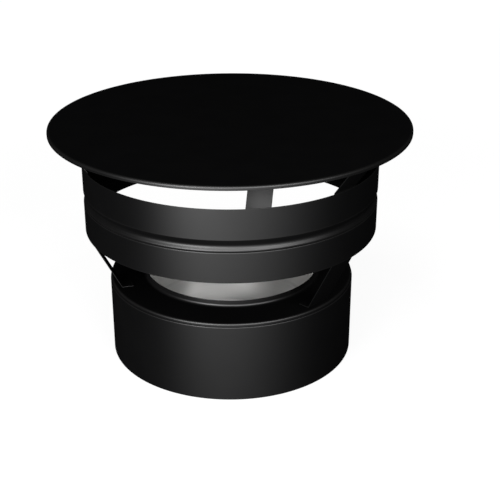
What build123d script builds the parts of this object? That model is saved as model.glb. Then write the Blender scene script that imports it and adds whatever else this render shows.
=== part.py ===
from build123d import *

import math
import os

# Flue rain cap, in millimetres. Z is the flue's axis, pointing up, and Z = 0 is the casing's lower
# edge. The front is -Y, and azimuths are measured from the front towards +X.

# Round sizes of the flue and of the cap
BORE_D = 150.0
CASING_D = 215.0
RING_D = 253.0
DISC_D = 306.0

# Sheet thicknesses
LINER_SHEET = 0.6
CASING_SHEET = 0.6
PLATE_SHEET = 0.6
RETAINER_SHEET = 0.6
BAND_SHEET = 0.6
STRAP_SHEET = 0.8
DISC_SHEET = 0.8

# Fits: radial slip between pushed-together sheets, of the spigot in the flue, and of the mineral wool
SLIP = 0.1
SPIGOT_FIT = 0.2
WOOL_GAP = 0.5

# Base, upwards from the casing's lower edge
CASING_HEIGHT = 68.0
PLATE_STAND = 3.0
SKIRT_DEPTH = 18.0
COLLAR_HEIGHT = 5.4
COLLAR_FILLET = 2.0
LINER_SETBACK = 0.4
SOCKET_DEPTH = 32.0
NECK_LENGTH = 4.0
RETAINER_FLANGE = 8.0

# Wind ring: two bands, the upper one grooved and pushed into the lower one. The groove's depth is
# that of the corner between its two slopes, before rounding
RING_GAP = 46.3
LOWER_BAND_HEIGHT = 25.75
GROOVE_HEIGHT = 10.4
PLAIN_HEIGHT = 25.35
GROOVE_DEPTH = 2.2
GROOVE_SLOPE_SHARE = 0.66
BEAD_SETBACK = 0.45
BEAD_RISE = 1.3
TAIL_LENGTH = 6.0

# Cover disc
DISC_GAP = 25.3
RIM_DEPTH = 3.3

# Straps
STRAP_WIDTH = 26.0
STRAP_AZIMUTHS = {"strap_right": 45.6, "strap_rear": 165.6, "strap_left": 285.6}
FOOT_LENGTH = 9.6
FOOT_SETBACK = 5.7
TOP_FOOT_LENGTH = 12.0
TOP_FOOT_SETBACK = 8.4
TOP_BEND_RISE = 0.3
JOGGLE_RAMP = 8.0
JOGGLE_LEAD = 1.5

# Bends, measured on the middle of the sheet, and rounded sheet edges on the outer corner
STRAP_BEND = 1.5
RIM_BEND = 1.2
SHOULDER_BEND = 1.1
NECK_BEND = 1.0
RETAINER_BEND = 1.5
LIP_BEND = 0.5
GROOVE_BEND = 3.7
BEAD_BEND = 1.7
SEAM_BEND = 0.8
RUN_SHARE = 0.49
EDGE_ROUND_SHARE = 0.9

# Heights that follow from the sizes above
plate_top = CASING_HEIGHT + PLATE_STAND
collar_top = plate_top + COLLAR_HEIGHT
ring_bottom = plate_top + RING_GAP
seam = ring_bottom + LOWER_BAND_HEIGHT
lip = seam + GROOVE_HEIGHT
ring_top = lip + PLAIN_HEIGHT
tail_bottom = seam - TAIL_LENGTH
disc_top = ring_top + DISC_GAP + RIM_DEPTH
disc_underside = disc_top - DISC_SHEET

# Radii that follow from the sizes above
liner_inner = BORE_D / 2
liner_outer = liner_inner + LINER_SHEET
spigot_outer = liner_inner - SPIGOT_FIT
casing_outer = CASING_D / 2
casing_inner = casing_outer - CASING_SHEET
skirt_outer = casing_inner - SLIP
collar_inner = liner_outer + SLIP
ring_outer = RING_D / 2
ring_inner = ring_outer - BAND_SHEET
tail_outer = ring_inner - SLIP
groove_inner = ring_outer - GROOVE_DEPTH - BAND_SHEET
disc_outer = DISC_D / 2


def turned(face):
    """One turn of a section, drawn as (radius, height), about the flue's axis."""
    return revolve(Plane.XZ * face, Axis.Z, 360)


def bent_section(points, bends, thickness):
    """The section of a bent sheet whose middle runs through the points, with a radius at each bend."""
    middle = FilletPolyline(*points, radius=bends)
    left = middle.offset_2d(thickness / 2, side=Side.LEFT)
    right = middle.offset_2d(thickness / 2, side=Side.RIGHT)
    return make_face(left.edges()) + make_face(right.edges())


def fitting_bends(points, radii):
    """The radii, each no larger than the two runs beside its bend leave room for."""
    fitting = []
    for before, corner, after, radius in zip(points, points[1:], points[2:], radii):
        arriving = Vector(*corner) - Vector(*before)
        leaving = Vector(*after) - Vector(*corner)
        half_turn = math.radians(arriving.get_angle(leaving) / 2)
        room = RUN_SHARE * min(arriving.length, leaving.length)
        fitting.append(min(radius, room / math.tan(half_turn)))
    return fitting


def tube_section(inner, outer, bottom, top, rounded=0.0):
    """A tube's wall, with its upper outer corner rounded where a radius is given."""
    face = Pos((inner + outer) / 2, (bottom + top) / 2) * Rectangle(outer - inner, top - bottom)
    if rounded:
        corner = face.vertices().sort_by(lambda vertex: vertex.X + vertex.Y)[-1]
        face = fillet(corner, rounded)
    return face


def make_outer_casing():
    """The casing: a plain tube whose lower end is the socket for the flue's outer wall."""
    rounded = CASING_SHEET * EDGE_ROUND_SHARE
    return turned(tube_section(casing_inner, casing_outer, 0, CASING_HEIGHT, rounded))


def make_inner_liner():
    """The liner: a tube whose lower end is necked down to the spigot that enters the flue's bore."""
    half = LINER_SHEET / 2
    middle = [
        (spigot_outer - half, 0),
        (spigot_outer - half, SOCKET_DEPTH - NECK_LENGTH),
        (liner_outer - half, SOCKET_DEPTH),
        (liner_outer - half, collar_top - LINER_SETBACK),
    ]
    return turned(bent_section(middle, [NECK_BEND, NECK_BEND], LINER_SHEET))


def make_closing_plate():
    """The plate over the wool, with its skirt inside the casing and its collar round the liner."""
    half = PLATE_SHEET / 2
    middle = [
        (skirt_outer - half, plate_top - SKIRT_DEPTH),
        (skirt_outer - half, plate_top - half),
        (collar_inner + half, plate_top - half),
        (collar_inner + half, collar_top),
    ]
    return turned(bent_section(middle, [SHOULDER_BEND, COLLAR_FILLET + half], PLATE_SHEET))


def make_insulation_retainer():
    """The flanged ring that closes the wool's space from below."""
    half = RETAINER_SHEET / 2
    floor = SOCKET_DEPTH + half
    middle = [
        (skirt_outer - half, SOCKET_DEPTH + RETAINER_FLANGE),
        (skirt_outer - half, floor),
        (collar_inner + half, floor),
        (collar_inner + half, SOCKET_DEPTH + RETAINER_FLANGE),
    ]
    return turned(bent_section(middle, [RETAINER_BEND, RETAINER_BEND], RETAINER_SHEET))


def make_insulation_sleeve():
    """The mineral wool between liner and casing."""
    inner = collar_inner + max(PLATE_SHEET, RETAINER_SHEET) + WOOL_GAP
    outer = skirt_outer - max(PLATE_SHEET, RETAINER_SHEET) - WOOL_GAP
    bottom = SOCKET_DEPTH + RETAINER_SHEET + WOOL_GAP
    top = plate_top - PLATE_SHEET - WOOL_GAP
    return turned(tube_section(inner, outer, bottom, top))


def make_lower_band():
    """The wind ring's lower band, a plain tube with a rounded upper edge."""
    rounded = BAND_SHEET * EDGE_ROUND_SHARE
    return turned(tube_section(ring_inner, ring_outer, ring_bottom, seam, rounded))


def make_upper_band():
    """The wind ring's upper band: a groove and a bead above the tail that enters the lower band."""
    half = BAND_SHEET / 2
    wall = ring_outer - half
    tail = tail_outer - half
    groove_drop = GROOVE_SLOPE_SHARE * (GROOVE_HEIGHT - BEAD_RISE)
    middle = [
        (wall, ring_top),
        (wall, lip),
        (wall - GROOVE_DEPTH, lip - groove_drop),
        (wall - BEAD_SETBACK, seam + BEAD_RISE),
        (tail, seam),
        (tail, tail_bottom),
    ]
    bends = fitting_bends(middle, [LIP_BEND, GROOVE_BEND, BEAD_BEND, SEAM_BEND])
    return turned(bent_section(middle, bends, BAND_SHEET))


def make_cover_disc():
    """The cover disc with its turned-down rim."""
    disc = Pos(disc_outer / 2, disc_top - RIM_DEPTH / 2) * Rectangle(disc_outer, RIM_DEPTH)
    outer_bend = RIM_BEND + DISC_SHEET / 2
    corner = disc.vertices().sort_by(lambda vertex: vertex.X + vertex.Y)[-1]
    disc = fillet(corner, outer_bend)
    hollow_r = disc_outer - DISC_SHEET
    hollow_depth = RIM_DEPTH - DISC_SHEET
    hollow = Pos(hollow_r / 2, disc_underside - hollow_depth / 2) * Rectangle(hollow_r, hollow_depth)
    inner_corner = hollow.vertices().sort_by(lambda vertex: vertex.X + vertex.Y)[-1]
    hollow = fillet(inner_corner, outer_bend - DISC_SHEET)
    return turned(disc - hollow)


def strap_middle_radius(wall_radius):
    """The radius of a flat strap's middle when its long edges clear a round wall by the slip."""
    edge_radius = wall_radius - SLIP
    return math.sqrt(edge_radius**2 - (STRAP_WIDTH / 2) ** 2) - STRAP_SHEET / 2


def make_strap(azimuth):
    """One strap: foot on the plate, leg to the ring, run up the ring's inside, leg and foot to the disc."""
    foot_height = plate_top + STRAP_SHEET / 2
    foot_bend = skirt_outer - FOOT_SETBACK
    top_height = disc_underside - STRAP_SHEET / 2
    top_bend = disc_outer - TOP_FOOT_SETBACK
    at_wall = strap_middle_radius(ring_inner)
    at_groove = strap_middle_radius(groove_inner)
    joggle_bottom = tail_bottom - JOGGLE_LEAD
    joggle_top = lip + JOGGLE_LEAD
    middle = [
        (foot_bend - FOOT_LENGTH, foot_height),
        (foot_bend, foot_height),
        (at_wall, ring_bottom),
        (at_wall, joggle_bottom - JOGGLE_RAMP),
        (at_groove, joggle_bottom),
        (at_groove, joggle_top),
        (at_wall, joggle_top + JOGGLE_RAMP),
        (at_wall, ring_top + TOP_BEND_RISE),
        (top_bend, top_height),
        (top_bend - TOP_FOOT_LENGTH, top_height),
    ]
    bends = [STRAP_BEND] * (len(middle) - 2)
    section = Plane.XZ * bent_section(middle, bends, STRAP_SHEET)
    strap = extrude(section, STRAP_WIDTH / 2, both=True)
    return Rot(0, 0, azimuth - 90) * strap


def build():
    """Every piece under its node name."""
    nodes = {
        "outer_casing": make_outer_casing(),
        "inner_liner": make_inner_liner(),
        "closing_plate": make_closing_plate(),
        "insulation_retainer": make_insulation_retainer(),
        "insulation_sleeve": make_insulation_sleeve(),
        "wind_ring_lower_band": make_lower_band(),
        "wind_ring_upper_band": make_upper_band(),
        "cover_disc": make_cover_disc(),
    }
    for name, azimuth in STRAP_AZIMUTHS.items():
        nodes[name] = make_strap(azimuth)
    return nodes


os.makedirs("parts", exist_ok=True)
for name, solid in build().items():
    export_step(solid, f"parts/{name}.step")
    size = solid.bounding_box().size
    print(name, "volume", round(solid.volume), "size", round(size.X, 2), round(size.Y, 2), round(size.Z, 2))
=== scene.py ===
"""Looks of a flue rain cap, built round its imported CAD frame.

The scene is in metres, with +Z along the flue and the front towards -Y. The sizes of the sheets and of the
sub-assemblies are in millimetres.
"""

import logging
import math
from dataclasses import dataclass
from enum import Enum
from functools import cache
from typing import NamedTuple

import bmesh
import bpy
from mathutils import Matrix, Vector


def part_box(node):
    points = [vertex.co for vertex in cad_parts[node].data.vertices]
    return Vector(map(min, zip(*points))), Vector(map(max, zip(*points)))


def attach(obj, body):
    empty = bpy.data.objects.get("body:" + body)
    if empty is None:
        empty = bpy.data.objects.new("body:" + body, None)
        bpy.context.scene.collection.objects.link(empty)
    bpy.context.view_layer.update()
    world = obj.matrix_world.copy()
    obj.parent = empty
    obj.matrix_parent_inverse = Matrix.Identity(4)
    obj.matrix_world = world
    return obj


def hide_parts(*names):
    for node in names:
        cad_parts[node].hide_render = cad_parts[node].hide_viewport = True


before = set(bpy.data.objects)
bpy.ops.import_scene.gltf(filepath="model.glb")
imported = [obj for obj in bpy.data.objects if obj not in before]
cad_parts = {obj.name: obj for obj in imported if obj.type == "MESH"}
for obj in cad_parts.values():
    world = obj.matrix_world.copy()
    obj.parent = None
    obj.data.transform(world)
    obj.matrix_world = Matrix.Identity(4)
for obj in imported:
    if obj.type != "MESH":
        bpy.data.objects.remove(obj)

log = logging.getLogger("flue_rain_cap")

MM = 0.001
WELD_DISTANCE = 1e-6
BODY = "root"
# The attribute that marks worn edges, ends and tight bends; the black paint is lighter there, partly as a
# painted edge highlight.
WORN = "worn"


class Slot(Enum):
    """The material slots, by name."""

    PAINT = "black_paint"
    STEEL = "bare_steel"
    RETAINER = "retainer_steel"
    WOOL = "mineral_wool"


class Link:
    """An output socket that takes part in arithmetic: each operator adds Math nodes to its tree."""

    def __init__(self, graph: "Graph", socket: bpy.types.NodeSocket | None) -> None:
        """Keeps the socket and the graph that it belongs to.

        Args:
            graph: The tree that new nodes go to.
            socket: The output socket, or none for a node without outputs.
        """
        self.graph = graph
        self.socket = socket

    def sibling(self, output: str) -> "Link":
        """Another output of the same node."""
        return Link(self.graph, self.socket.node.outputs[output])

    def __add__(self, other: "Link | float") -> "Link":
        """The sum."""
        return self.graph.maths("ADD", self, other)

    def __radd__(self, other: float) -> "Link":
        """The sum, with the number first."""
        return self.graph.maths("ADD", other, self)

    def __sub__(self, other: "Link | float") -> "Link":
        """The difference."""
        return self.graph.maths("SUBTRACT", self, other)

    def __rsub__(self, other: float) -> "Link":
        """The difference, with the number first."""
        return self.graph.maths("SUBTRACT", other, self)

    def __mul__(self, other: "Link | float") -> "Link":
        """The product."""
        return self.graph.maths("MULTIPLY", self, other)

    def __rmul__(self, other: float) -> "Link":
        """The product, with the number first."""
        return self.graph.maths("MULTIPLY", other, self)

    def __pow__(self, other: "Link | float") -> "Link":
        """The power."""
        return self.graph.maths("POWER", self, other)

    def at_most(self, other: "Link | float") -> "Link":
        """The smaller of the two."""
        return self.graph.maths("MINIMUM", self, other)

    def at_least(self, other: "Link | float") -> "Link":
        """The larger of the two."""
        return self.graph.maths("MAXIMUM", self, other)

    def swing(self, amount: float) -> "Link":
        """A noise value made into a swing round 0, by half the amount each way."""
        return (self - 0.5) * amount

    def ramp(self, low: float, high: float) -> "Link":
        """How far the value has come from low to high, from 0 to 1."""
        return ((self - low) * (1.0 / (high - low))).at_least(0.0).at_most(1.0)


class Graph:
    """A shader or Geometry Nodes tree while it is built."""

    def __init__(self, tree: bpy.types.NodeTree) -> None:
        """Keeps the tree.

        Args:
            tree: The tree that nodes are added to.
        """
        self.tree = tree

    def node(
        self,
        kind: str,
        settings: dict[str, object] | None = None,
        values: dict[str | int, object] | None = None,
        output: str | int = 0,
    ) -> Link:
        """Adds one node.

        Args:
            kind: The node's Blender type.
            settings: What is set on the node itself first.
            values: Numbers, vectors, materials or links for its input sockets, by name or place.
            output: The output socket that is wanted, by name or place.

        Returns:
            That output.
        """
        made = self.tree.nodes.new(kind)
        for name, setting in (settings or {}).items():
            setattr(made, name, setting)
        for key, value in (values or {}).items():
            if isinstance(value, Link):
                self.tree.links.new(value.socket, made.inputs[key])
            else:
                made.inputs[key].default_value = value
        return Link(self, made.outputs[output] if made.outputs else None)

    def maths(self, operation: str, *values: Link | float) -> Link:
        """Adds a Math node.

        Args:
            operation: The node's operation.
            values: Its inputs, in the node's order.

        Returns:
            The node's result.
        """
        return self.node("ShaderNodeMath", {"operation": operation}, dict(enumerate(values)))

    def blend(self, factor: Link, first: object, second: object) -> Link:
        """Adds a Mix node on two colours.

        Args:
            factor: How much of the second colour there is.
            first: The colour at 0.
            second: The colour at 1.

        Returns:
            The mixed colour.
        """
        return self.node("ShaderNodeMix", {"data_type": "RGBA"}, {0: factor, 6: first, 7: second}, 2)

    def noise(self, where: Link, scale: float, detail: float, rough: float = 0.5) -> Link:
        """Adds a noise value from 0 to 1.

        Args:
            where: The coordinate that it is read at.
            scale: Cells per unit of that coordinate.
            detail: Octaves.
            rough: How strong each finer octave is.

        Returns:
            The value.
        """
        values = {"Vector": where, "Scale": scale, "Detail": detail, "Roughness": rough}
        return self.node("ShaderNodeTexNoise", {"noise_dimensions": "3D"}, values)

    def bump(self, height: Link, distance: float) -> Link:
        """Adds a fine relief.

        Args:
            height: The relief, from 0 to 1.
            distance: Its full height, in metres.

        Returns:
            The normal that shows it.
        """
        values = {"Strength": 1.0, "Distance": distance, "Height": height}
        return self.node("ShaderNodeBump", {}, values, "Normal")

    def place(self) -> Link:
        """The place on the piece, in metres."""
        return self.node("ShaderNodeTexCoord", {}, {}, "Object")

    def worn(self) -> Link:
        """How worn the surface is, from the mesh's attribute; the black paint also paints an edge highlight
        by it.
        """
        return self.node("ShaderNodeAttribute", {"attribute_name": WORN}, {}, "Fac")


def opaque(colour: tuple[float, float, float], share: float = 1.0) -> tuple[float, float, float, float]:
    """A colour, scaled by a share, with its alpha."""
    return (*(share * channel for channel in colour), 1.0)


class Finish:
    """A finish with one material, which is built when it is first asked for."""

    name: str

    @cache
    def material(self) -> bpy.types.Material:
        """The finish's material.

        Returns:
            The material, made on the first call.
        """
        made = bpy.data.materials.new(self.name)
        made.use_nodes = True
        graph = Graph(made.node_tree)
        graph.tree.nodes.clear()
        graph.node("ShaderNodeOutputMaterial", {}, {"Surface": self.surface(graph)})
        return made

    def surface(self, graph: Graph) -> Link:
        """The finish's shader.

        Args:
            graph: The material's tree.

        Returns:
            The shader output.
        """
        raise NotImplementedError


@dataclass(frozen=True)
class BlackPaint(Finish):
    """Black baked paint: matt where it is seen at a slant, and a satin film where it is seen squarely."""

    name: str = "baked_black_paint"
    colour: tuple[float, float, float] = (0.003, 0.003, 0.0031)
    roughness: float = 0.7
    film: float = 1.3
    film_roughness: float = 0.5
    film_ior: float = 1.65
    squareness: float = 10.0
    mottle_scale: float = 45.0
    mottle_contrast: float = 0.14
    mottle_swing: float = 0.05
    peel_scale: float = 820.0
    peel_height: float = 0.000005
    dust_scale: float = 2600.0
    dust_swing: float = 0.04
    # Worn edges, ends and tight bends get a lighter colour: partly wear and partly a painted edge highlight.
    worn_and_highlight_colour: tuple[float, float, float] = (0.009, 0.0088, 0.0087)
    worn_and_highlight_strength: float = 0.6
    worn_and_highlight_base: float = 0.35
    worn_and_highlight_mottle: float = 0.9
    worn_polish: float = 0.04

    def surface(self, graph: Graph) -> Link:
        """The paint's shader.

        Args:
            graph: The material's tree.

        Returns:
            The shader output.
        """
        where = graph.place()
        mottle = graph.noise(where, self.mottle_scale, detail=4.0)
        peel = graph.noise(where, self.peel_scale, detail=3.0, rough=0.55)
        dust = graph.noise(where, self.dust_scale, detail=1.0)
        # Lighter and less rough where the mesh marks wear: partly real wear, partly a painted highlight along
        # the edges.
        rubbed_and_highlight = (graph.worn() * (self.worn_and_highlight_base + mottle * self.worn_and_highlight_mottle)).at_most(1.0)
        dark = opaque(self.colour, 1.0 - self.mottle_contrast)
        pale = opaque(self.colour, 1.0 + self.mottle_contrast)
        colour = graph.blend(mottle, dark, pale)
        colour = graph.blend(rubbed_and_highlight * self.worn_and_highlight_strength, colour, opaque(self.worn_and_highlight_colour))
        uneven = mottle.swing(self.mottle_swing) + dust.swing(self.dust_swing) - rubbed_and_highlight * self.worn_polish
        shared = {"Base Color": colour, "Normal": graph.bump(peel, self.peel_height)}
        matt = graph.node(
            "ShaderNodeBsdfPrincipled",
            {},
            {**shared, "Roughness": self.roughness + uneven, "Specular IOR Level": 0.0},
        )
        satin = graph.node(
            "ShaderNodeBsdfPrincipled",
            {},
            {**shared, "Roughness": self.film_roughness + uneven, "IOR": self.film_ior},
        )
        slant = graph.node("ShaderNodeLayerWeight", {}, {"Blend": 0.5}, "Facing")
        film = (self.film * (1.0 - slant) ** self.squareness).at_most(1.0)
        return graph.node("ShaderNodeMixShader", {}, {0: film, 1: matt, 2: satin})


@dataclass(frozen=True)
class TurnedSteel(Finish):
    """Bare sheet steel whose fine rolling and brushing lines run round the flue's axis."""

    name: str = "liner_steel"
    colour: tuple[float, float, float] = (0.84, 0.836, 0.826)
    roughness: float = 0.6
    stretch: float = 0.9
    stretch_turn: float = 0.25
    line_scale: float = 1500.0
    line_squeeze: float = 0.03
    line_swing: float = 0.14
    line_relief: float = 0.7
    line_height: float = 0.000008
    broad_scale: float = 240.0
    broad_swing: float = 0.1
    cloud_scale: float = 30.0
    cloud_swing: float = 0.06
    stain: tuple[float, float, float] = (0.7, 0.692, 0.678)
    stain_clouds: float = 0.5
    stain_lines: float = 0.35
    stain_broad: float = 0.25
    stain_start: float = 0.2
    worn_clean: float = 0.3
    worn_polish: float = 0.08

    def surface(self, graph: Graph) -> Link:
        """The steel's shader.

        Args:
            graph: The material's tree.

        Returns:
            The shader output.
        """
        where = graph.place()
        x = graph.node("ShaderNodeSeparateXYZ", {}, {"Vector": where}, "X")
        y, z = x.sibling("Y"), x.sibling("Z")
        radius = (x * x + y * y) ** 0.5
        along = {"X": x * self.line_squeeze, "Y": y * self.line_squeeze, "Z": z + radius}
        run = graph.node("ShaderNodeCombineXYZ", {}, along)
        lines = graph.noise(run, self.line_scale, detail=5.0, rough=0.7)
        broad = graph.noise(run, self.broad_scale, detail=3.0, rough=0.6)
        clouds = graph.noise(where, self.cloud_scale, detail=3.0)
        worn = graph.worn()
        spots = clouds * self.stain_clouds + lines * self.stain_lines + broad * self.stain_broad
        stained = (spots - self.stain_start - worn * self.worn_clean).at_least(0.0)
        uneven = lines.swing(self.line_swing) + broad.swing(self.broad_swing) + clouds.swing(self.cloud_swing)
        relief = lines * self.line_relief + broad * (1.0 - self.line_relief)
        values = {
            "Base Color": graph.blend(stained, opaque(self.colour), opaque(self.stain)),
            "Metallic": 1.0,
            "Roughness": self.roughness + uneven - worn * self.worn_polish,
            "Anisotropic": self.stretch,
            "Anisotropic Rotation": self.stretch_turn,
            "Normal": graph.bump(relief, self.line_height),
        }
        return graph.node("ShaderNodeBsdfPrincipled", {}, values)


@dataclass(frozen=True)
class StoneWool(Finish):
    """Pressed mineral wool: matted greenish-brown fibres in loose clumps."""

    name: str = "pressed_wool"
    dark: tuple[float, float, float] = (0.17, 0.145, 0.075)
    light: tuple[float, float, float] = (0.42, 0.37, 0.22)
    roughness: float = 0.94
    fibre_scale: float = 900.0
    fibre_layering: tuple[float, float, float] = (1.0, 1.0, 0.22)
    fibre_share: float = 0.7
    fibre_sheen: float = 0.1
    clump_scale: float = 130.0
    clump_share: float = 0.5
    shade: float = 0.1
    relief: float = 0.0004

    def surface(self, graph: Graph) -> Link:
        """The wool's shader.

        Args:
            graph: The material's tree.

        Returns:
            The shader output.
        """
        where = graph.place()
        clumps = graph.noise(where, self.clump_scale, detail=3.0)
        layered = {0: where, 1: self.fibre_layering}
        lying = graph.node("ShaderNodeVectorMath", {"operation": "MULTIPLY"}, layered, "Vector")
        fibres = graph.noise(lying, self.fibre_scale, detail=4.0, rough=0.7)
        mixed = (fibres * self.fibre_share + clumps * self.clump_share - self.shade).at_most(1.0)
        values = {
            "Base Color": graph.blend(mixed, opaque(self.dark), opaque(self.light)),
            "Roughness": self.roughness - fibres * self.fibre_sheen,
            "Normal": graph.bump(mixed, self.relief),
        }
        return graph.node("ShaderNodeBsdfPrincipled", {}, values)


class Station(NamedTuple):
    """A point of a sheet's middle line: its place, the line's direction there and how worn the sheet is."""

    place: Vector
    along: Vector
    wear: float


class Mark(NamedTuple):
    """A point of a line that is turned or swept: its place as (radius, height), and how worn it is."""

    place: Vector
    wear: float


@dataclass(frozen=True)
class Bend:
    """A bend of a sheet's middle line, from the direction of the run before to that of the run after."""

    corner: Vector
    before: Vector
    after: Vector
    radius: float

    @property
    def turn(self) -> float:
        """The angle between the two runs, clockwise."""
        return self.before.angle_signed(self.after)

    @property
    def reach(self) -> float:
        """How far the arc's ends are from the corner."""
        return self.radius * math.tan(abs(self.turn) / 2)

    @property
    def start(self) -> Vector:
        """The arc's first end."""
        return self.corner - self.before * self.reach

    @property
    def end(self) -> Vector:
        """The arc's last end."""
        return self.corner + self.after * self.reach

    def stations(self, steps: int) -> list[Station]:
        """The points of the arc between its ends.

        Args:
            steps: How many steps the arc is drawn in.

        Returns:
            The points, the more worn the tighter the bend is.
        """
        right = Vector((self.before.y, -self.before.x))
        arm = right * (-self.radius if self.turn > 0 else self.radius)
        centre = self.start - arm
        wear = min(1.0, 1.0 / self.radius)
        stations = []
        for step in range(1, steps):
            spin = Matrix.Rotation(-self.turn * step / steps, 2)
            stations.append(Station(centre + spin @ arm, spin @ self.before, wear))
        return stations


@dataclass(frozen=True)
class Section:
    """A sheet's section in millimetres: its middle line as (radius, height), its bends and its thickness.

    The edge roundings are at the first and last end, each as (left side, right side) seen along the line.
    """

    points: tuple[tuple[float, float], ...]
    thickness: float
    bends: tuple[float, ...] = ()
    first_edge: tuple[float, float] = (0.15, 0.15)
    last_edge: tuple[float, float] = (0.15, 0.15)
    bend_steps: int = 7
    edge_steps: int = 5
    supports: tuple[float, ...] = (0.25, 1.2)
    support_room: float = 3.0
    edge_wear: float = 1.0
    end_wear: float = 0.7
    near_end_wear: float = 0.35

    def spine(self) -> list[Station]:
        """The middle line with its arcs drawn out and support points on its straight runs.

        Returns:
            The line's points in order.
        """
        corners = [Vector(point) for point in self.points]
        bends = []
        for before, corner, after, radius in zip(corners, corners[1:], corners[2:], self.bends):
            bends.append(Bend(corner, (corner - before).normalized(), (after - corner).normalized(), radius))
        stations = []
        start = corners[0]
        for bend in bends:
            stations += self.straight(start, bend.start)
            stations += bend.stations(self.bend_steps)
            start = bend.end
        return stations + self.straight(start, corners[-1])

    def straight(self, start: Vector, end: Vector) -> list[Station]:
        """A straight run with its ends and the support points near them.

        Args:
            start: Its first end.
            end: Its last end.

        Returns:
            The run's points in order.
        """
        length = (end - start).length
        along = (end - start).normalized()
        wear_at = {0.0: self.end_wear, length: self.end_wear}
        for step, support in enumerate(self.supports):
            if length > self.support_room * support:
                wear = self.near_end_wear if step == 0 else 0.0
                wear_at[support] = wear
                wear_at[length - support] = wear
        return [Station(start + along * reach, along, wear_at[reach]) for reach in sorted(wear_at)]

    def faces(self, stations: list[Station]) -> tuple[list[Mark], list[Mark]]:
        """The sheet's two faces beside a part of its middle line.

        Args:
            stations: The part's points in order.

        Returns:
            The left face in that order, and the right face in the opposite order.
        """
        left, right = [], []
        for place, along, wear in stations:
            leftward = Vector((-along.y, along.x)) * (self.thickness / 2)
            left.append(Mark(place + leftward, wear))
            right.append(Mark(place - leftward, wear))
        return left, right[::-1]

    def edge(self, end: Vector, out: Vector, roundings: tuple[float, float]) -> list[Mark]:
        """The outline round a sheet's edge, from its left side to its right side.

        Args:
            end: The middle line's end.
            out: The direction out of the sheet there.
            roundings: The roundings of the left and the right corner.

        Returns:
            The outline's points in order.
        """
        leftward = Vector((-out.y, out.x))
        angles = [math.pi / 2 * step / self.edge_steps for step in range(self.edge_steps + 1)]
        marks = []
        for side, rounding, turned in (
            (leftward, roundings[0], angles),
            (-leftward, roundings[1], angles[::-1]),
        ):
            centre = end - out * rounding + side * (self.thickness / 2 - rounding)
            for angle in turned:
                arm = (side * math.cos(angle) + out * math.sin(angle)) * rounding
                marks.append(Mark(centre + arm, self.edge_wear))
        return marks

    def outline(self) -> list[Mark]:
        """The closed outline of the section.

        Returns:
            The outline's points, the last one on the first.
        """
        spine = self.spine()
        first, last = spine[0], spine[-1]
        inner = [
            station
            for station in spine
            if (station.place - first.place).length > max(self.first_edge)
            and (station.place - last.place).length > max(self.last_edge)
        ]
        left, right = self.faces(inner)
        marks = left + self.edge(last.place, last.along, self.last_edge)
        marks += right + self.edge(first.place, -first.along, self.first_edge[::-1])
        return spaced([*marks, marks[0]])

    def lid(self) -> list[Mark]:
        """The outline of a sheet whose first end is on the axis, left open there.

        Returns:
            The outline's points, from the axis round the sheet and back to the axis.
        """
        spine = self.spine()
        last = spine[-1]
        inner = [station for station in spine if (station.place - last.place).length > max(self.last_edge)]
        left, right = self.faces(inner)
        return spaced(left + self.edge(last.place, last.along, self.last_edge) + right)


def spaced(outline: list[Mark], least: float = 0.004) -> list[Mark]:
    """An outline without points that lie on each other.

    Args:
        outline: The outline's points.
        least: The least distance between neighbours, in millimetres.

    Returns:
        The outline's remaining points, its ends among them.
    """
    kept = [outline[0]]
    for mark in outline[1:-1]:
        to_last_kept = (mark.place - kept[-1].place).length
        to_end = (mark.place - outline[-1].place).length
        if to_last_kept > least and to_end > least:
            kept.append(mark)
    return [*kept, outline[-1]]


class Tree(Graph):
    """A Geometry Nodes tree with named inputs."""

    def __init__(self, name: str) -> None:
        """Makes an empty tree with a geometry input and output.

        Args:
            name: The tree's name.
        """
        super().__init__(bpy.data.node_groups.new(name, "GeometryNodeTree"))
        self.tree.interface.new_socket("Geometry", in_out="INPUT", socket_type="NodeSocketGeometry")
        self.tree.interface.new_socket("Geometry", in_out="OUTPUT", socket_type="NodeSocketGeometry")

    def add_input(self, name: str, kind: str) -> None:
        """Adds a named input.

        Args:
            name: The input's name.
            kind: Its socket type.
        """
        self.tree.interface.new_socket(name, in_out="INPUT", socket_type=kind)

    def value(self, name: str) -> Link:
        """One of the tree's inputs."""
        return self.node("NodeGroupInput", {}, {}, name)

    def end(self, geometry: Link) -> None:
        """Ends the tree in Realize Instances and Set Material.

        Args:
            geometry: The finished geometry.
        """
        real = self.node("GeometryNodeRealizeInstances", {}, {"Geometry": geometry})
        values = {"Geometry": real, "Material": self.value("Material")}
        dressed = self.node("GeometryNodeSetMaterial", {}, values)
        self.node("NodeGroupOutput", {}, {"Geometry": dressed})

    def apply(self, piece: bpy.types.Object, values: dict[str, object]) -> None:
        """Runs the tree on a piece and leaves the result as its plain mesh.

        Args:
            piece: The object whose mesh is the tree's input.
            values: The tree's inputs by name.
        """
        modifier = piece.modifiers.new(self.tree.name, "NODES")
        modifier.node_group = self.tree
        inputs = [item for item in self.tree.interface.items_tree if item.in_out == "INPUT"]
        identifiers = {item.name: item.identifier for item in inputs}
        for name, value in values.items():
            modifier[identifiers[name]] = value
        bpy.context.view_layer.update()
        evaluated = piece.evaluated_get(bpy.context.evaluated_depsgraph_get())
        mesh = bpy.data.meshes.new_from_object(evaluated)
        piece.modifiers.remove(modifier)
        piece.data = mesh
        mesh.name = piece.name


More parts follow.
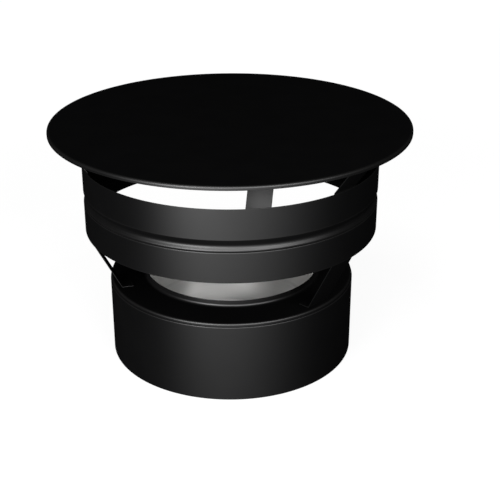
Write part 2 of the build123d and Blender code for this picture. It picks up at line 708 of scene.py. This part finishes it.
def turning_tree() -> Tree:
    """The tree that turns an outline about the Z axis.

    The outline's points come in order, with their wear. A grid with one column for each step of the turn
    takes its rows from them.

    Returns:
        The tree, with the inputs Segments and Material.
    """
    tree = Tree("turn_about_flue_axis")
    tree.add_input("Segments", "NodeSocketInt")
    tree.add_input("Material", "NodeSocketMaterial")
    outline = tree.value("Geometry")
    count = tree.node(
        "GeometryNodeAttributeDomainSize", {"component": "MESH"}, {"Geometry": outline}, "Point Count"
    )
    columns = tree.value("Segments") + 1.0
    sizes = {"Size X": 1.0, "Size Y": 1.0, "Vertices X": columns, "Vertices Y": count}
    grid = tree.node("GeometryNodeMeshGrid", {}, sizes, "Mesh")
    mapped = tree.node(
        "GeometryNodeStoreNamedAttribute",
        {"data_type": "FLOAT2", "domain": "CORNER"},
        {"Geometry": grid, "Name": "UVMap", "Value": grid.sibling("UV Map")},
    )
    place = tree.node("GeometryNodeInputPosition")
    across = tree.node("ShaderNodeSeparateXYZ", {}, {"Vector": place}, "X")
    row = tree.maths("ROUND", (across.sibling("Y") + 0.5) * (count - 1.0))
    angle = (across + 0.5) * math.tau
    wear = tree.node("GeometryNodeInputNamedAttribute", {"data_type": "FLOAT"}, {"Name": WORN})
    worn = tree.node(
        "GeometryNodeSampleIndex",
        {"data_type": "FLOAT", "domain": "POINT"},
        {"Geometry": outline, "Value": wear, "Index": row},
    )
    drawn = tree.node(
        "GeometryNodeSampleIndex",
        {"data_type": "FLOAT_VECTOR", "domain": "POINT"},
        {"Geometry": outline, "Value": place, "Index": row},
    )
    radius = tree.node("ShaderNodeSeparateXYZ", {}, {"Vector": drawn}, "X")
    turned = tree.node(
        "ShaderNodeCombineXYZ",
        {},
        {
            "X": radius * tree.maths("COSINE", angle),
            "Y": radius * tree.maths("SINE", angle),
            "Z": radius.sibling("Z"),
        },
    )
    kept = tree.node(
        "GeometryNodeStoreNamedAttribute",
        {"data_type": "FLOAT", "domain": "POINT"},
        {"Geometry": mapped, "Name": WORN, "Value": worn},
    )
    formed = tree.node("GeometryNodeSetPosition", {}, {"Geometry": kept, "Position": turned})
    closing = {"Geometry": formed, "Distance": WELD_DISTANCE}
    tree.end(tree.node("GeometryNodeMergeByDistance", {}, closing))
    return tree


def strap_tree() -> Tree:
    """The tree that runs a flat bar's rounded section along a strap's middle line.

    Returns:
        The tree, with the inputs Width, Thickness, Edge Radius, Edge Steps and Material.
    """
    tree = Tree("strap_along_its_line")
    tree.add_input("Width", "NodeSocketFloat")
    tree.add_input("Thickness", "NodeSocketFloat")
    tree.add_input("Edge Radius", "NodeSocketFloat")
    tree.add_input("Edge Steps", "NodeSocketInt")
    tree.add_input("Material", "NodeSocketMaterial")
    line = tree.node("GeometryNodeMeshToCurve", {}, {"Mesh": tree.value("Geometry")})
    bar = tree.node(
        "GeometryNodeCurvePrimitiveQuadrilateral",
        {"mode": "RECTANGLE"},
        {"Width": tree.value("Width"), "Height": tree.value("Thickness")},
    )
    rounded = tree.node(
        "GeometryNodeFilletCurve",
        {"mode": "POLY"},
        {"Curve": bar, "Count": tree.value("Edge Steps"), "Radius": tree.value("Edge Radius")},
    )
    worn = tree.node(
        "GeometryNodeStoreNamedAttribute",
        {"data_type": "FLOAT", "domain": "POINT"},
        {"Geometry": rounded, "Name": WORN, "Value": 1.0},
    )
    swept = tree.node(
        "GeometryNodeCurveToMesh", {}, {"Curve": line, "Profile Curve": worn, "Fill Caps": True}
    )
    tree.end(tree.node("GeometryNodeSetShadeSmooth", {}, {"Geometry": swept}))
    return tree


def add_object(name: str, data: bpy.types.ID) -> bpy.types.Object:
    """Adds an object to the scene.

    Args:
        name: The object's name.
        data: Its mesh, lamp or camera.

    Returns:
        The object, at the origin.
    """
    made = bpy.data.objects.new(name, data)
    bpy.context.scene.collection.objects.link(made)
    return made


def line_mesh(name: str, line: list[Mark]) -> bpy.types.Mesh:
    """A mesh of points in a row, joined by edges, in the plane y = 0.

    Args:
        name: The mesh's name.
        line: The points in order, in millimetres.

    Returns:
        The mesh, in metres, with the wear as a point attribute.
    """
    mesh = bpy.data.meshes.new(name)
    places = [(mark.place.x * MM, 0.0, mark.place.y * MM) for mark in line]
    mesh.from_pydata(places, [(i, i + 1) for i in range(len(places) - 1)], [])
    attribute = mesh.attributes.new(WORN, "FLOAT", "POINT")
    attribute.data.foreach_set("value", [mark.wear for mark in line])
    return mesh


def tidy_mesh(piece: bpy.types.Object, sharp_degrees: float = 50.0) -> None:
    """Turns a piece's faces outwards and shades it smoothly between its sharp edges.

    Args:
        piece: The piece, with a plain mesh.
        sharp_degrees: Edges that turn by this or more stay sharp.
    """
    work = bmesh.new()
    work.from_mesh(piece.data)
    bmesh.ops.remove_doubles(work, verts=work.verts, dist=WELD_DISTANCE)
    bmesh.ops.recalc_face_normals(work, faces=work.faces)
    if work.calc_volume(signed=True) < 0:
        bmesh.ops.reverse_faces(work, faces=work.faces)
    for face in work.faces:
        face.smooth = True
    for edge in work.edges:
        edge.smooth = len(edge.link_faces) != 2 or edge.calc_face_angle() < math.radians(sharp_degrees)
    work.to_mesh(piece.data)
    work.free()


def hand_over(piece: bpy.types.Object, node: str) -> None:
    """Lets a finished piece stand for its CAD node.

    Args:
        piece: The piece.
        node: The CAD node that it replaces.
    """
    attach(piece, BODY)
    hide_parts(node)
    log.info("%s: %d faces for %s", piece.name, len(piece.data.polygons), node)


@dataclass(frozen=True)
class Turned:
    """A piece turned about the flue's axis, as a lid where its section starts on the axis."""

    node: str
    slot: Slot
    finish: Finish
    section: Section
    segments: int = 256
    lid: bool = False

    def make(self, tree: Tree) -> bpy.types.Object:
        """Builds and dresses the piece.

        Args:
            tree: The turning tree.

        Returns:
            The piece.
        """
        outline = self.section.lid() if self.lid else self.section.outline()
        piece = add_object(f"{self.node}_sheet", line_mesh(self.node, outline))
        tree.apply(piece, {"Segments": self.segments, "Material": self.finish.material()})
        tidy_mesh(piece)
        return piece


@dataclass(frozen=True)
class Extent:
    """The outer radius and the lowest and highest height of a turned CAD node, in millimetres."""

    radius: float
    low: float
    high: float

    @classmethod
    def of(cls, node: str) -> "Extent":
        """Reads a node's extent off the frame.

        Args:
            node: The CAD node's name.

        Returns:
            The extent, to a thousandth of a millimetre.
        """
        low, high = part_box(node)
        reach = max(high.x, high.y, -low.x, -low.y)
        return cls(*(round(size / MM, 3) for size in (reach, low.z, high.z)))


@dataclass(frozen=True)
class FlueBase:
    """The insulated base: casing, liner, closing plate, retainer and the wool between them."""

    casing: Extent
    liner: Extent
    plate: Extent
    retainer: Extent
    wool: Extent
    sheet: float = 0.6
    slip: float = 0.1
    spigot_setback: float = 0.8
    neck_length: float = 4.0
    neck_bend: float = 1.0
    collar_height: float = 5.4
    collar_bend: float = 2.3
    shoulder_bend: float = 1.1
    retainer_bend: float = 1.5
    retainer_roughness: float = 0.56
    wool_gap: float = 0.5
    wool_edge: tuple[float, float] = (1.5, 1.5)
    wool_supports: tuple[float, ...] = (1.2, 4.0)
    casing_edge: tuple[float, float] = (0.05, 0.54)

    @classmethod
    def from_frame(cls) -> "FlueBase":
        """The base at its CAD nodes' sizes."""
        nodes = ("outer_casing", "inner_liner", "closing_plate", "insulation_retainer", "insulation_sleeve")
        return cls(*(Extent.of(node) for node in nodes))

    @property
    def plate_top(self) -> float:
        """The height of the closing plate's upper face."""
        return self.plate.high - self.collar_height

    def pieces(self) -> list[Turned]:
        """The base's turned pieces.

        Returns:
            One for each CAD node of the base.
        """
        half = self.sheet / 2
        wall = self.casing.radius - half
        skirt = self.plate.radius - half
        collar = self.liner.radius + self.slip + half
        liner = self.liner.radius - half
        spigot = liner - self.spigot_setback
        plate_level = self.plate_top - half
        floor = self.retainer.low + half
        wool_inner = collar + half + self.wool_gap
        wool_middle = (wool_inner + self.wool.radius) / 2
        casing = Section(
            ((wall, self.casing.low), (wall, self.casing.high)), self.sheet, last_edge=self.casing_edge
        )
        lining = Section(
            (
                (spigot, self.liner.low),
                (spigot, self.retainer.low - self.neck_length),
                (liner, self.retainer.low),
                (liner, self.liner.high),
            ),
            self.sheet,
            (self.neck_bend, self.neck_bend),
        )
        plate = Section(
            (
                (skirt, self.plate.low),
                (skirt, plate_level),
                (collar, plate_level),
                (collar, self.plate.high),
            ),
            self.sheet,
            (self.shoulder_bend, self.collar_bend),
        )
        retainer = Section(
            (
                (skirt, self.retainer.high),
                (skirt, floor),
                (collar, floor),
                (collar, self.retainer.high),
            ),
            self.sheet,
            (self.retainer_bend, self.retainer_bend),
        )
        wool = Section(
            ((wool_middle, self.wool.low), (wool_middle, self.wool.high)),
            self.wool.radius - wool_inner,
            first_edge=self.wool_edge,
            last_edge=self.wool_edge,
            supports=self.wool_supports,
        )
        dull_steel = TurnedSteel("retainer_sheet_steel", roughness=self.retainer_roughness)
        return [
            Turned("outer_casing", Slot.PAINT, BlackPaint(), casing),
            Turned("inner_liner", Slot.STEEL, TurnedSteel(), lining),
            Turned("closing_plate", Slot.PAINT, BlackPaint(), plate),
            Turned("insulation_retainer", Slot.RETAINER, dull_steel, retainer),
            Turned("insulation_sleeve", Slot.WOOL, StoneWool(), wool),
        ]


@dataclass(frozen=True)
class WindRing:
    """The wind ring's two bands, the grooved upper one pushed into the lower one."""

    lower: Extent
    upper: Extent
    sheet: float = 0.6
    slip: float = 0.1
    groove_height: float = 10.4
    groove_depth: float = 2.2
    groove_slope_share: float = 0.66
    bead_setback: float = 0.45
    bead_rise: float = 1.3
    bends: tuple[float, ...] = (0.5, 3.7, 1.7, 0.8)
    seam_edge: tuple[float, float] = (0.05, 0.54)
    segments: int = 288

    @classmethod
    def from_frame(cls) -> "WindRing":
        """The ring at its CAD nodes' sizes."""
        return cls(Extent.of("wind_ring_lower_band"), Extent.of("wind_ring_upper_band"))

    @property
    def seam(self) -> float:
        """The height at which the upper band enters the lower one."""
        return self.lower.high

    @property
    def lip(self) -> float:
        """The height of the groove's upper edge."""
        return self.seam + self.groove_height

    def pieces(self) -> list[Turned]:
        """The two bands.

        Returns:
            One for each CAD node of the ring.
        """
        wall = self.upper.radius - self.sheet / 2
        tail = wall - self.sheet - self.slip
        groove_drop = self.groove_slope_share * (self.groove_height - self.bead_rise)
        lower = Section(((wall, self.lower.low), (wall, self.seam)), self.sheet, last_edge=self.seam_edge)
        upper = Section(
            (
                (wall, self.upper.high),
                (wall, self.lip),
                (wall - self.groove_depth, self.lip - groove_drop),
                (wall - self.bead_setback, self.seam + self.bead_rise),
                (tail, self.seam),
                (tail, self.upper.low),
            ),
            self.sheet,
            self.bends,
        )
        return [
            Turned("wind_ring_lower_band", Slot.PAINT, BlackPaint(), lower, self.segments),
            Turned("wind_ring_upper_band", Slot.PAINT, BlackPaint(), upper, self.segments),
        ]


@dataclass(frozen=True)
class CoverDisc:
    """The flat cover with its turned-down rim."""

    cover: Extent
    sheet: float = 0.8
    rim_bend: float = 1.2
    segments: int = 320

    @classmethod
    def from_frame(cls) -> "CoverDisc":
        """The cover at its CAD node's size."""
        return cls(Extent.of("cover_disc"))

    @property
    def underside(self) -> float:
        """The height of the cover's lower face."""
        return self.cover.high - self.sheet

    def pieces(self) -> list[Turned]:
        """The cover.

        Returns:
            The one piece.
        """
        half = self.sheet / 2
        rim = self.cover.radius - half
        level = self.cover.high - half
        section = Section(((0.0, level), (rim, level), (rim, self.cover.low)), self.sheet, (self.rim_bend,))
        return [Turned("cover_disc", Slot.PAINT, BlackPaint(), section, self.segments, lid=True)]


@dataclass(frozen=True)
class Straps:
    """The three bent straps, each from the plate past the ring's inside to the disc."""

    base: FlueBase
    ring: WindRing
    disc: CoverDisc
    azimuths: tuple[tuple[str, float], ...] = (
        ("strap_right", 45.6),
        ("strap_rear", 165.6),
        ("strap_left", 285.6),
    )
    width: float = 26.0
    sheet: float = 0.8
    edge: float = 0.2
    edge_steps: int = 4
    bend: float = 1.5
    foot_length: float = 9.6
    foot_setback: float = 5.7
    top_foot_length: float = 12.0
    top_foot_setback: float = 8.4
    top_bend_rise: float = 0.3
    joggle_ramp: float = 8.0
    joggle_lead: float = 1.5

    def against(self, wall: float) -> float:
        """The radius of a flat strap's middle whose long edges clear a round wall by the slip.

        Args:
            wall: The wall's inner radius.

        Returns:
            The radius, in millimetres.
        """
        edge = wall - self.ring.slip
        return math.sqrt(edge**2 - (self.width / 2) ** 2) - self.sheet / 2

    def middle(self) -> Section:
        """A strap's middle line.

        Returns:
            The section whose spine is that line.
        """
        half = self.sheet / 2
        foot_level = self.base.plate_top + half
        foot_bend = self.base.plate.radius - self.foot_setback
        top_level = self.disc.underside - half
        top_bend = self.disc.cover.radius - self.top_foot_setback
        ring_inner = self.ring.upper.radius - self.ring.sheet
        at_wall = self.against(ring_inner)
        at_groove = self.against(ring_inner - self.ring.groove_depth)
        joggle_bottom = self.ring.upper.low - self.joggle_lead
        joggle_top = self.ring.lip + self.joggle_lead
        points = (
            (foot_bend - self.foot_length, foot_level),
            (foot_bend, foot_level),
            (at_wall, self.ring.lower.low),
            (at_wall, joggle_bottom - self.joggle_ramp),
            (at_groove, joggle_bottom),
            (at_groove, joggle_top),
            (at_wall, joggle_top + self.joggle_ramp),
            (at_wall, self.ring.upper.high + self.top_bend_rise),
            (top_bend, top_level),
            (top_bend - self.top_foot_length, top_level),
        )
        return Section(points, self.sheet, (self.bend,) * (len(points) - 2))

    def make(self, tree: Tree) -> list[tuple[bpy.types.Object, str]]:
        """Builds and dresses the three straps.

        Args:
            tree: The strap tree.

        Returns:
            Each strap with its CAD node's name.
        """
        line = [Mark(station.place, station.wear) for station in self.middle().spine()]
        values = {
            "Width": self.width * MM,
            "Thickness": self.sheet * MM,
            "Edge Radius": self.edge * MM,
            "Edge Steps": self.edge_steps,
            "Material": BlackPaint().material(),
        }
        made = []
        for node, azimuth in self.azimuths:
            piece = add_object(f"{node}_bar", line_mesh(node, line))
            tree.apply(piece, values)
            piece.data.transform(Matrix.Rotation(math.radians(azimuth - 90.0), 4, "Z"))
            tidy_mesh(piece)
            made.append((piece, node))
        return made


@dataclass(frozen=True)
class Softbox:
    """An area lamp aimed at the cap, seen from it at an azimuth from the front and an elevation."""

    name: str
    azimuth: float
    elevation: float
    level: float
    width: float
    height: float
    distance: float = 1.6
    aim: tuple[float, float, float] = (0.0, 0.0, 0.11)

    def make(self) -> None:
        """Adds the lamp; at level 1 it lights a white card at the aim, turned to it, as white."""
        lamp = bpy.data.lights.new(self.name, "AREA")
        lamp.shape = "RECTANGLE"
        lamp.size = self.width
        lamp.size_y = self.height
        lamp.energy = math.pi**2 * self.level * self.distance**2
        holder = add_object(self.name, lamp)
        across = math.radians(self.azimuth)
        up = math.radians(self.elevation)
        away = Vector((math.sin(across) * math.cos(up), -math.cos(across) * math.cos(up), math.sin(up)))
        holder.location = Vector(self.aim) + away * self.distance
        holder.rotation_mode = "QUATERNION"
        holder.rotation_quaternion = away.to_track_quat("Z", "Y")


@dataclass(frozen=True)
class Studio:
    """The plain floor, the white surroundings, the lamps and the camera."""

    floor_radius: float = 40.0
    floor_sides: int = 96
    floor_albedo: float = 0.22
    floor_glow: float = 0.85
    far_glow: float = 0.945
    far_range: tuple[float, float] = (0.3, 1.6)
    painted_shade_glow: float = 0.22
    inside_range: tuple[float, float] = (0.1, 0.107)
    fill: float = 0.25
    camera_place: tuple[float, float, float] = (0.0, -0.86428, 0.48344)
    camera_pitch: float = 24.60
    camera_yaw: float = 1.097
    camera_lens: float = 76.934
    sensor_width: float = 36.0
    lamps: tuple[Softbox, ...] = (
        Softbox("key_softbox", -36.0, 2.5, 1.2, 0.8, 0.24),
        Softbox("far_left_strip", -41.0, 24.4, 0.05, 0.62, 0.18),
        Softbox("left_strip", -19.0, 22.6, 0.2, 0.62, 0.12),
        Softbox("middle_strip", 5.0, 24.6, 0.17, 0.62, 0.18),
        Softbox("right_strip", 28.0, 24.8, 0.26, 0.62, 0.18),
        Softbox("far_right_strip", 51.0, 24.8, 0.34, 0.62, 0.18),
        Softbox("top_softbox", -50.0, 65.0, 0.24, 0.7, 0.7),
    )

    def background_share(self, graph: Graph) -> Link:
        """How far a ray is one that shows the white background.

        Args:
            graph: The tree that reads it.

        Returns:
            1 for camera, glossy and transmission rays, otherwise 0.
        """
        camera = graph.node("ShaderNodeLightPath", {}, {}, "Is Camera Ray")
        mirrored, through = camera.sibling("Is Glossy Ray"), camera.sibling("Is Transmission Ray")
        return (camera + mirrored + through).at_most(1.0)

    def make_world(self) -> None:
        """Sets the world: white where it is seen or mirrored, and a dim even fill otherwise."""
        world = bpy.data.worlds.new("studio_air")
        world.use_nodes = True
        graph = Graph(world.node_tree)
        graph.tree.nodes.clear()
        level = self.fill + self.background_share(graph) * (1.0 - self.fill)
        colour = graph.node("ShaderNodeCombineColor", {}, {0: level, 1: level, 2: level})
        air = graph.node("ShaderNodeBackground", {}, {"Color": colour, "Strength": 1.0})
        graph.node("ShaderNodeOutputWorld", {}, {"Surface": air})
        bpy.context.scene.world = world

    def floor_material(self) -> bpy.types.Material:
        """The floor's finish: pale, with a glow that brings it to white, full far away and held low under the
        cap as painted shade.

        Returns:
            The material.
        """
        material = bpy.data.materials.new("pale_floor")
        material.use_nodes = True
        graph = Graph(material.node_tree)
        graph.tree.nodes.clear()
        paint = graph.node("ShaderNodeBsdfDiffuse", {}, {"Color": opaque((self.floor_albedo,) * 3)})
        away = graph.node("ShaderNodeVectorMath", {"operation": "LENGTH"}, {0: graph.place()}, "Value")
        # Under the cap the glow is held low: painted shade on the floor inside the flue. The liner's inside
        # mirrors this dim glow.
        outside = away.ramp(*self.inside_range) * (self.floor_glow - self.painted_shade_glow)
        distant = away.ramp(*self.far_range) * (self.far_glow - self.floor_glow)
        strength = self.background_share(graph) * (self.painted_shade_glow + outside + distant)
        glow = graph.node("ShaderNodeEmission", {}, {"Color": opaque((1.0, 1.0, 1.0)), "Strength": strength})
        both = graph.node("ShaderNodeAddShader", {}, {0: paint, 1: glow})
        graph.node("ShaderNodeOutputMaterial", {}, {"Surface": both})
        return material

    def make_floor(self) -> None:
        """Adds the pale floor, which shows white where nothing shades it."""
        mesh = bpy.data.meshes.new("floor")
        work = bmesh.new()
        bmesh.ops.create_circle(work, cap_ends=True, segments=self.floor_sides, radius=self.floor_radius)
        work.to_mesh(mesh)
        work.free()
        floor = add_object("floor", mesh)
        mesh.materials.append(self.floor_material())

    def make_camera(self) -> None:
        """Adds the camera at the photograph's place."""
        lens = bpy.data.cameras.new("photo_camera")
        lens.lens = self.camera_lens
        lens.sensor_width = self.sensor_width
        holder = add_object("photo_camera", lens)
        holder.location = self.camera_place
        tilt = math.radians(90.0 - self.camera_pitch)
        holder.rotation_euler = (tilt, 0.0, math.radians(-self.camera_yaw))
        bpy.context.scene.camera = holder

    def make(self) -> None:
        """Makes the stage."""
        bpy.context.scene.view_settings.view_transform = "Standard"
        self.make_camera()
        self.make_world()
        self.make_floor()
        for lamp in self.lamps:
            lamp.make()
        log.info("studio: %d lamps", len(self.lamps))


def main() -> None:
    """Builds every piece and the studio round the frame."""
    logging.basicConfig(level=logging.INFO, format="%(name)s: %(message)s")
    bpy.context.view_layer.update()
    base, ring, disc = FlueBase.from_frame(), WindRing.from_frame(), CoverDisc.from_frame()
    turning = turning_tree()
    for turned in (*base.pieces(), *ring.pieces(), *disc.pieces()):
        hand_over(turned.make(turning), turned.node)
    for piece, node in Straps(base, ring, disc).make(strap_tree()):
        hand_over(piece, node)
    Studio().make()
    bpy.context.view_layer.update()


if __name__ == "__main__":
    main()
